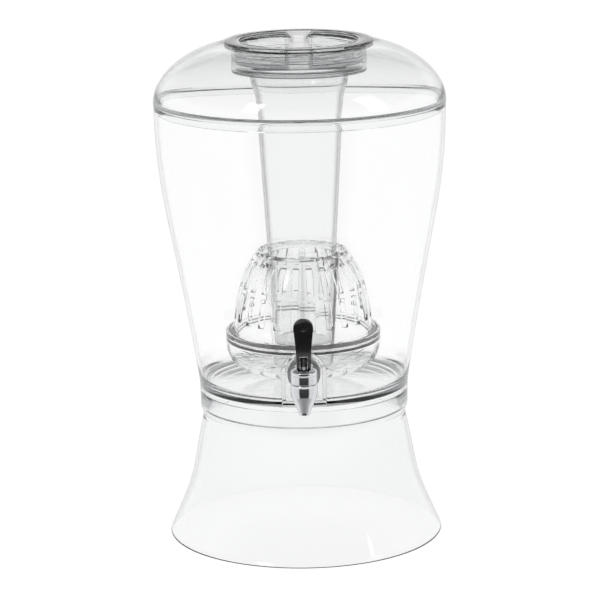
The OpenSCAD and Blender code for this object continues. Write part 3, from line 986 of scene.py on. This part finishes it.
@dataclass
class Infuser:
    """The cup with its socket, and the slotted dome that sits on it."""

    levels: Levels
    tube: IceTube
    cup_r: float = 75.0
    cup_h: float = 39.0
    wall: float = 2.6
    dome_h: float = 83.0
    mouth_r: float = 40.3
    dome_inset: float = 8.0
    slots: int = 24
    slot_w: float = 6.3
    vent_w: float = 3.2
    gap: float = 0.35
    socket_wall: float = 2.2
    lug_turn: float = 30.0

    def slot_cutters(self, low: float, tall: float, inner: float, reach: float,
                     width: float, every: int = 1) -> bmesh.types.BMesh:
        """Make a ring of radial boxes, half a pitch off the front.

        Args:
            low: height of their undersides, in millimetres.
            tall: their height.
            inner: distance of their inner ends from the axis.
            reach: their length along the radius.
            width: their width.
            every: 1 for a box at every slot, 2 for one at every other slot.

        Returns:
            The boxes.
        """
        size = (reach * MM, width * MM, tall * MM)
        place = ((inner + reach / 2) * MM, 0, (low + tall / 2) * MM)
        return joined(*(block(size, place, FULL_TURN * (k + 0.5) / self.slots, 0.0009)
                        for k in range(0, self.slots, every)))

    def build_cup(self) -> None:
        """Make the cup with its socket for the tube."""
        base = self.levels.cup_floor
        rim = self.levels.rim
        seat = self.levels.seat
        inner = self.cup_r - self.wall
        seat_r = self.cup_r - self.dome_inset - self.wall - 1
        part = self.cup_r / 75
        bowl = curve((46 * part, base), (66 * part, base),
                     (self.cup_r, base + 0.33 * self.cup_h), (self.cup_r, base + 0.7 * self.cup_h))
        hollow = curve((44 * part, base + self.wall), (64 * part, base + self.wall),
                       (inner, base + 0.38 * self.cup_h), (inner, base + 0.72 * self.cup_h))
        outline = eased([(0, base), *bowl, (self.cup_r, rim, 1.2), (inner, rim, 0.8),
                         (inner, seat, 0.3), (seat_r, seat, 0.4), (seat_r, seat - 2, 0.4),
                         (inner, seat - 4.5, 0.4), *reversed(hollow), (0, base + self.wall)])
        cup = as_object("infuser_bowl", spun(outline))
        top = self.levels.tip + self.tube.socket_grip
        low_r = self.tube.radius(base) + self.gap
        high_r = self.tube.radius(top) + self.gap
        wall = self.socket_wall
        socket = spun(eased([(low_r, base + 1), (low_r + wall, base + 1),
                             (high_r + wall, top, 0.8), (high_r, top, 0.8)]))
        carve(cup, socket, Cut.ADD)
        carve(cup, self.slot_cutters(base - 1, 9, 0.66 * self.cup_r, 0.24 * self.cup_r,
                                     self.vent_w), Cut.TAKE)
        carve(cup, self.slot_cutters(base - 1, self.wall + 3, 0.47 * self.cup_r,
                                     0.14 * self.cup_r, self.vent_w, 2), Cut.TAKE)
        self.cut_lug_slots(cup)
        finish_piece(cup, "infuser", Finish.BOWL, "infuser_cup")

    def cut_lug_slots(self, cup: bpy.types.Object) -> None:
        """Cut the L-shaped slots of the socket, down from its top and then round.

        Args:
            cup: the cup with its socket, which is changed.
        """
        lug_z = self.tube.lug_z
        r = self.tube.radius(lug_z)
        half = math.asin(3.6 / r)
        turn = math.radians(self.lug_turn)
        for k in range(self.tube.lugs):
            start = math.pi / 2 + FULL_TURN * k / self.tube.lugs
            cut = bmesh.new()
            corner = [cut.verts.new((x * MM, 0, z * MM)) for x, z in
                      ((r - 3, lug_z - 0.4), (r + 5, lug_z - 0.4),
                       (r + 5, lug_z + 4.4), (r - 3, lug_z + 4.4))]
            face = cut.faces.new(corner)
            bmesh.ops.spin(cut, geom=[*corner, *face.edges, face], cent=(0, 0, 0), axis=(0, 0, 1),
                           angle=turn + 2 * half, steps=10)
            bmesh.ops.recalc_face_normals(cut, faces=cut.faces)
            bmesh.ops.rotate(cut, verts=cut.verts, cent=(0, 0, 0),
                             matrix=Matrix.Rotation(start - turn - half, 3, "Z"))
            carve(cup, cut, Cut.TAKE)
            carve(cup, block((8 * MM, 7.2 * MM, 20 * MM), ((r + 1) * MM, 0, (lug_z + 10) * MM),
                             start - turn), Cut.TAKE)

    def build_dome(self) -> None:
        """Make the slotted dome."""
        seat = self.levels.seat
        dome_r = self.cup_r - self.dome_inset
        foot_r = self.cup_r - self.wall - 0.6
        rim_r = self.mouth_r + 2.9
        foot_top = seat + 2.4
        top = seat + self.dome_h
        share = rim_r + (dome_r - rim_r) * 0.62
        belly = curve((dome_r, foot_top), (dome_r, foot_top + 0.4 * self.dome_h),
                      (share, top - 0.21 * self.dome_h), (rim_r, top - 1.2), 32)
        inner = curve((dome_r - self.wall, seat),
                      (dome_r - self.wall, foot_top + 0.4 * self.dome_h),
                      (share - self.wall, top - 0.22 * self.dome_h), (self.mouth_r, top - 4.4), 32)
        outline = eased([(foot_r, seat, 0.5), (foot_r, foot_top, 0.5), (*belly[0], 0.8),
                         *belly[1:-1], (rim_r, top, 1.1), (self.mouth_r, top, 1.1),
                         *reversed(inner[1:]), (*inner[0], 0.5)])
        dome = as_object("infuser_hood", spun(outline))
        cuts = joined(self.slot_cutters(seat + 0.205 * self.dome_h, 0.33 * self.dome_h,
                                        rim_r, dome_r, self.slot_w),
                      self.slot_cutters(seat + 0.592 * self.dome_h, 0.294 * self.dome_h,
                                        rim_r - 4, dome_r, self.slot_w))
        carve(dome, cuts, Cut.TAKE)
        finish_piece(dome, "infuser_top", Finish.INSERT, "infuser_dome")


@dataclass
class Tap:
    """The chrome tap with its lever, washers and nut."""

    levels: Levels
    barrel_r: float = 12.85
    bonnet_r: float = 12.2
    bore_r: float = 4.4
    chamber_r: float = 9.4
    shank_r: float = 8.0
    waterway_r: float = 3.8
    washer_r: float = 15.4
    washer_t: float = 3.0
    nut_across: float = 27.0
    flange_t: float = 2.5
    lever_w: float = 18.6
    fork_w: float = 13.3
    lever_h: float = 48.0
    stem_d: float = 6.4
    pin_hole_r: float = 1.55
    swing: float = 50.0
    lift: float = 3.0

    @property
    def axis(self) -> Vector:
        """A point on the barrel's vertical axis."""
        return Vector((0, self.levels.tap_y * MM, 0))

    def laid_back(self, bm: bmesh.types.BMesh, start: float) -> bmesh.types.BMesh:
        """Lay an upright solid over onto the shank's axis, its foot at a depth."""
        return laid(bm, -90, "X", (0, start * MM, self.levels.tap_z * MM))

    def thread(self, start: float, length: float) -> bmesh.types.BMesh:
        """Make the shank's thread.

        Args:
            start: depth of its front end, in millimetres along +Y.
            length: how far back it runs.

        Returns:
            The thread's rib.
        """
        lead = 1.5
        r = self.shank_r
        rib = helix([(r - 1.2, -0.6), (r, -0.12), (r, 0.12), (r - 1.2, 0.6)], lead,
                    length / lead - 1, 40)
        return self.laid_back(rib, start + 0.8)

    def build_body(self) -> None:
        """Make the barrel, nozzle, flange and threaded shank."""
        z = self.levels.tap_z
        nozzle = z - 30.2
        bulb = z - 5.4
        top = self.levels.bonnet_top - 6
        seat = nozzle + 16.4
        tip = self.bore_r + 1.3
        pear = curve((tip + 0.2, nozzle + 2), (tip + 2, nozzle + 10), (self.barrel_r, nozzle + 15),
                     (self.barrel_r, bulb))
        outline = eased([
            (self.bore_r, nozzle, 0.5), (tip, nozzle, 0.5), *pear,
            (self.barrel_r - 0.35, bulb + 4.6, 0.5), (self.barrel_r - 1.3, bulb + 5.4, 0.3),
            (self.bonnet_r, bulb + 6.2, 0.4), (self.bonnet_r, top, 0.5),
            (self.chamber_r, top, 0.3), (self.chamber_r, seat - 1.2),
            (self.bore_r + 1.8, seat - 1.2), (self.bore_r + 1.6, seat), (self.bore_r, seat, 0.2)])
        body = as_object("tap_barrel", spun(outline, 96, self.axis))
        start = self.levels.tap_y + self.chamber_r + 1.1
        end = -PAD_FACE + PAD_WALL + 18
        flange = -PAD_FACE - self.washer_t - self.flange_t
        core = self.shank_r - 1.0
        run = flange - start
        shank = self.laid_back(spun(eased([
            (0, 0), (self.shank_r, 0), (self.shank_r, run - 2.2, 0.6),
            (self.shank_r + 2.2, run, 0.6),
            (self.barrel_r + 0.15, run, 0.5), (self.barrel_r + 0.15, run + self.flange_t, 0.4),
            (core, run + self.flange_t), (core, end - start, 0.6), (0, end - start)]), 64), start)
        carve(body, shank, Cut.ADD)
        way = rod(self.waterway_r * MM, (end + 1 - self.levels.tap_y) * MM,
                  Vector((0, (end + 1 + self.levels.tap_y) / 2, z)) * MM, "X")
        carve(body, way, Cut.TAKE)
        carve(body, self.thread(flange + self.flange_t, end - flange - self.flange_t), Cut.ADD)
        finish_piece(body, "tank_body", Finish.CHROME, "tap_body")

    def build_bonnet(self) -> None:
        """Make the bonnet that closes the barrel."""
        top = self.levels.bonnet_top
        skirt = top - 8.4
        low = top - 5.2
        roof = top - 3.8
        hole = self.stem_d / 2 + 0.05
        r = self.bonnet_r
        outline = eased([
            (self.chamber_r - 1.9, skirt), (self.chamber_r - 0.1, skirt),
            (self.chamber_r - 0.1, low), (r, low, 0.4), (r, top - 3, 0.4),
            (r - 0.9, top - 2.2, 0.4), (r - 3.4, top - 0.5, 1.0),
            (r - 4.4, top, 0.6), (hole, top, 0.15), (hole, top - 1), (hole + 1.85, top - 1),
            (hole + 1.85, top - 2.8), (hole, top - 2.8), (hole, roof),
            (self.chamber_r - 1.9, roof)])
        finish_piece(as_object("tap_cap", spun(outline, 96, self.axis)), "tank_body",
                     Finish.CHROME, "tap_bonnet")

    def cam(self) -> list[Point]:
        """Draw the lever from the side, with the foot that rolls on the bonnet.

        Returns:
            Its outline about the pin, (towards the back, up), in millimetres.
        """
        rate = self.lift / math.radians(self.swing)
        base = self.levels.pin_z - self.levels.bonnet_top - 0.25
        foot = []
        for k in range(0, 11):
            a = math.radians(self.swing * k / 10)
            p = base + rate * a
            foot.append((-(p * math.sin(a) + rate * math.cos(a)),
                         -p * math.cos(a) + rate * math.sin(a)))
        top = self.lever_h - 5.2
        front = curve((-6.9, 2.6), (-4.2, 9), (-4.1, 22), (-6.6, top - 5), 12)
        back = curve((0.2, top - 4), (0.6, 24), (1.6, 14), (4.8, 1.0), 12)
        return [(4.6, -base), *foot, *front, (-6.0, top - 0.6), (-4.4, top), (-2.0, top - 0.4),
                *back]

    def build_lever(self) -> None:
        """Make the lever with its fork and thumb dish."""
        pin = self.levels.pin_z
        top = pin + self.lever_h - 5.2
        round_z = top - self.lever_w / 2
        side = prism([(y * MM, z * MM) for y, z in self.cam()], 0.04)
        bmesh.ops.translate(side, verts=side.verts, vec=(0, 0, -0.02))
        turn = Matrix(((0, 0, 1), (1, 0, 0), (0, 1, 0)))
        bmesh.ops.rotate(side, verts=side.verts, cent=(0, 0, 0), matrix=turn)
        bmesh.ops.translate(side, verts=side.verts, vec=self.axis + Vector((0, 0, pin * MM)))
        lever = as_object("tap_handle", side)
        half = self.lever_w / 2
        fork = self.fork_w / 2
        over = [(x, round_z + z) for x, z in arc(half, 28)]
        right = curve((fork, self.levels.bonnet_top - 1), (fork, pin + 8), (fork + 0.4, pin + 14),
                      (half, round_z), 12)[:-1]
        left = [(-x, z) for x, z in reversed(right)]
        front = prism([(x * MM, z * MM) for x, z in (*right, *over, *left)], 0.08)
        carve(lever, laid(front, 90, "X", self.axis + Vector((0, 0.04, 0))), Cut.KEEP)
        soften = lever.modifiers.new("rounding", "BEVEL")
        soften.width = 0.0011
        soften.segments = 4
        soften.limit_method = "ANGLE"
        soften.angle_limit = math.radians(40)
        bake(lever)
        dish = bmesh.new()
        bmesh.ops.create_uvsphere(dish, u_segments=64, v_segments=40, radius=15.2 * MM)
        bmesh.ops.translate(dish, verts=dish.verts,
                            vec=self.axis + Vector((0, -20.5 * MM, (round_z - 0.2) * MM)))
        carve(lever, dish, Cut.TAKE)
        gap = self.stem_d + 0.8
        tall = pin + 7 - self.levels.bonnet_top + 1
        slot = block((gap * MM, 0.04, tall * MM),
                     (0, self.levels.tap_y * MM, (self.levels.bonnet_top - 1 + tall / 2) * MM))
        carve(lever, slot, Cut.TAKE)
        carve(lever, rod(self.pin_hole_r * MM, 0.04, self.axis + Vector((0, 0, pin * MM)), "Y"),
              Cut.TAKE)
        finish_piece(lever, "lever", Finish.LEVER, "tap_lever", crease=38)

    def build_fixings(self) -> None:
        """Make the two washers and the nut."""
        hole_r = self.shank_r + 0.1
        for name, start, node in (("front_washer", -PAD_FACE - self.washer_t, "outer_washer"),
                                  ("rear_washer", -PAD_FACE + PAD_WALL, "inner_washer")):
            ring = spun(eased([(hole_r, 0, 0.3), (self.washer_r, 0, 0.8),
                               (self.washer_r, self.washer_t, 0.8), (hole_r, self.washer_t, 0.3)]),
                        64)
            finish_piece(as_object(name, self.laid_back(ring, start)), "tank_body",
                         Finish.SOFT_CLEAR, node)
        start = -PAD_FACE + PAD_WALL + self.washer_t
        collar = spun(eased([(0, 0), (self.washer_r, 0, 0.4), (self.washer_r, 1.4, 0.3),
                             (0, 1.4)]), 64)
        nut = as_object("tap_nut", self.laid_back(collar, start))
        corner = self.nut_across / 2 / math.cos(math.pi / 6) * MM
        hexagon = prism(arc(corner, 6, FULL_TURN)[:-1], 0.007, 0.0007)
        carve(nut, self.laid_back(hexagon, start), Cut.ADD)
        carve(nut, rod(hole_r * MM, 0.03, Vector((0, start, self.levels.tap_z)) * MM, "X"),
              Cut.TAKE)
        finish_piece(nut, "tank_body", Finish.NYLON, "back_nut")

    def dress_nodes(self) -> None:
        """Give the small pieces that stay as the frame has them their own finishes."""
        for node, finish in (("bonnet_gasket", Finish.SILICONE), ("stem_o_ring", Finish.RUBBER),
                             ("stem_washer", Finish.STEEL), ("seat_plug", Finish.SILICONE),
                             ("tap_stem", Finish.STEEL), ("lever_pin", Finish.STEEL)):
            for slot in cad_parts[node].material_slots:
                slot.link = "OBJECT"
                slot.material = finish.material()
            log.info("%s is dressed in %s", node, finish.recipe.name)

    def build_spring(self) -> None:
        """Make the spring."""
        box_low, box_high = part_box("tap_spring")
        wire = 0.55
        mean = self.chamber_r - 3.6
        low = box_low.z / MM + wire
        high = box_high.z / MM - wire
        turns = 6
        section = [(mean + x, low + z) for x, z in arc(wire, 12, FULL_TURN)[:-1]]
        coil = helix(section, (high - low) / turns, turns, 32)
        bmesh.ops.translate(coil, verts=coil.verts, vec=self.axis)
        spring = finish_piece(as_object("closing_spring", coil), "tank_body", Finish.STEEL,
                              "tap_spring")
        length = (box_high.z - box_low.z) / MM
        1 - self.lift / length
        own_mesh(spring)

    def build(self) -> None:
        """Make every piece of the tap."""
        self.build_body()
        self.build_bonnet()
        self.build_lever()
        self.build_fixings()
        self.build_spring()
        self.dress_nodes()


# ---------------------------------------------------------------- studio


@dataclass
class Studio:
    """Camera, floor and light."""

    eye: Vector = Vector((0.0, -2.7312, 0.8801))
    pitch: float = 13.41
    yaw: float = -0.055
    roll: float = -0.916
    lens: float = 173.6

    def camera(self) -> None:
        """Make the camera."""
        data = bpy.data.cameras.new("camera")
        data.sensor_width = 36.0
        data.lens = self.lens
        eye = bpy.data.objects.new("camera", data)
        bpy.context.collection.objects.link(eye)
        turn = (Matrix.Rotation(math.radians(-self.yaw), 4, "Z")
                @ Matrix.Rotation(math.radians(90 - self.pitch), 4, "X")
                @ Matrix.Rotation(math.radians(self.roll), 4, "Z"))
        eye.matrix_world = Matrix.Translation(self.eye) @ turn
        bpy.context.scene.camera = eye

    def floor(self) -> None:
        """Make the pale floor."""
        bm = bmesh.new()
        bmesh.ops.create_grid(bm, x_segments=1, y_segments=1, size=30.0)
        bmesh.ops.translate(bm, verts=bm.verts, vec=(0, 0, -0.0002))
        ground = as_object("floor", bm)
        g = Graph("pale_floor")
        g.feed("Base Color", (0.35, 0.35, 0.35, 1.0))
        g.feed("Roughness", 0.9)
        g.feed("Specular IOR Level", 0.0)
        g.feed("Emission Color", (1.0, 1.0, 1.0, 1.0))
        g.feed("Emission Strength", 0.89)
        ground.data.materials.append(g.material)

    def sky(self) -> None:
        """Make a soft white room that is dimmer overhead."""
        world = bpy.data.worlds.new("room")
        bpy.context.scene.world = world
        world.use_nodes = True
        tree = world.node_tree
        tree.nodes.clear()
        out = tree.nodes.new("ShaderNodeOutputWorld")
        back = tree.nodes.new("ShaderNodeBackground")
        place = tree.nodes.new("ShaderNodeTexCoord")
        split = tree.nodes.new("ShaderNodeSeparateXYZ")
        ramp = tree.nodes.new("ShaderNodeValToRGB")
        stops = ((0.0, 1.05), (0.27, 1.05), (0.42, 0.55), (0.7, 0.26), (1.0, 0.2))
        while len(ramp.color_ramp.elements) < len(stops):
            ramp.color_ramp.elements.new(0.5)
        for stop, (where, value) in zip(ramp.color_ramp.elements, stops):
            stop.position = where
            stop.color = (value, value, value, 1.0)
        tree.links.new(place.outputs["Generated"], split.inputs[0])
        tree.links.new(split.outputs["Z"], ramp.inputs[0])
        tree.links.new(ramp.outputs[0], back.inputs["Color"])
        back.inputs["Strength"].default_value = 1.0
        tree.links.new(back.outputs[0], out.inputs["Surface"])

    def lamps(self) -> None:
        """Hang two soft boxes high at the sides, the left one nearer."""
        for where, wide, tall, power in (((-1.25, -1.5, 1.75), 0.5, 0.9, 8.0),
                                         ((1.9, -0.9, 1.7), 0.7, 1.6, 5.0)):
            data = bpy.data.lights.new("soft_box", "AREA")
            data.shape = "RECTANGLE"
            data.size = wide
            data.size_y = tall
            data.energy = power
            lamp = bpy.data.objects.new("soft_box", data)
            lamp.location = where
            aim = Vector((0, 0, 0.22)) - lamp.location
            lamp.rotation_euler = aim.to_track_quat("-Z", "Y").to_euler()
            bpy.context.collection.objects.link(lamp)

    def card(self) -> None:
        """Lay a card on the floor in front that only reflections see: the dark middle of a room.

        It is dark straight ahead of the tap, pale at the sides and mid grey close to the tap.
        """
        near, far, half = 0.15, 3.4, 1.6
        bm = bmesh.new()
        bmesh.ops.create_grid(bm, x_segments=1, y_segments=1, size=1.0)
        bmesh.ops.scale(bm, verts=bm.verts, vec=(half, (far - near) / 2, 1))
        bmesh.ops.translate(bm, verts=bm.verts, vec=(0, -(near + far) / 2, 0.001))
        card = as_object("front_card", bm)
        g = Graph("front_card")
        from_tap = g.node("ShaderNodeVectorMath", {"operation": "ADD"},
                          {0: g.place(), 1: (0.0, near - 0.02, 0.0)}, "Vector")
        bearing = g.node("ShaderNodeTexGradient", {"gradient_type": "RADIAL"},
                         {"Vector": from_tap}, "Fac")
        reach = g.node("ShaderNodeVectorMath", {"operation": "LENGTH"}, {0: from_tap}, "Value")
        side = (bearing - 0.25) * (bearing - 0.25) * 16
        beside = side * 0.6 + 0.34
        ahead = ((side - 0.16) * 9).clamped() * 0.9 + 0.03
        away = ((reach - 0.2) * 40).clamped()
        g.feed("Base Color", (0.01, 0.01, 0.01, 1.0))
        g.feed("Roughness", 1.0)
        g.feed("Emission Color", beside + away * (ahead - beside))
        g.feed("Emission Strength", 1.0)
        card.data.materials.append(g.material)
        for ray in ("camera", "diffuse", "transmission", "shadow", "volume_scatter"):
            setattr(card, f"visible_{ray}", False)

    def exposure(self) -> None:
        """Set a plain picture response, and enough bounces for nested clear walls."""
        scene = bpy.context.scene
        scene.view_settings.view_transform = "Standard"
        scene.view_settings.look = "None"
        scene.cycles.max_bounces = 40
        scene.cycles.transmission_bounces = 40
        scene.cycles.glossy_bounces = 10
        scene.cycles.transparent_max_bounces = 24
        scene.cycles.use_denoising = True

    def build(self) -> None:
        """Set up everything but the camera."""
        self.floor()
        self.sky()
        self.lamps()
        self.card()
        self.exposure()


def main() -> None:
    """Build the studio and the dispenser."""
    logging.basicConfig(level=logging.INFO, format="%(name)s: %(message)s")
    studio = Studio()
    studio.camera()
    levels = Levels.from_frame()
    Stand(levels).build()
    Tank(levels).build()
    Lid(levels).build()
    Cap(levels).build()
    tube = IceTube(levels)
    tube.build()
    infuser = Infuser(levels, tube)
    infuser.build_cup()
    infuser.build_dome()
    Tap(levels).build()
    studio.build()


if __name__ == "__main__":
    main()
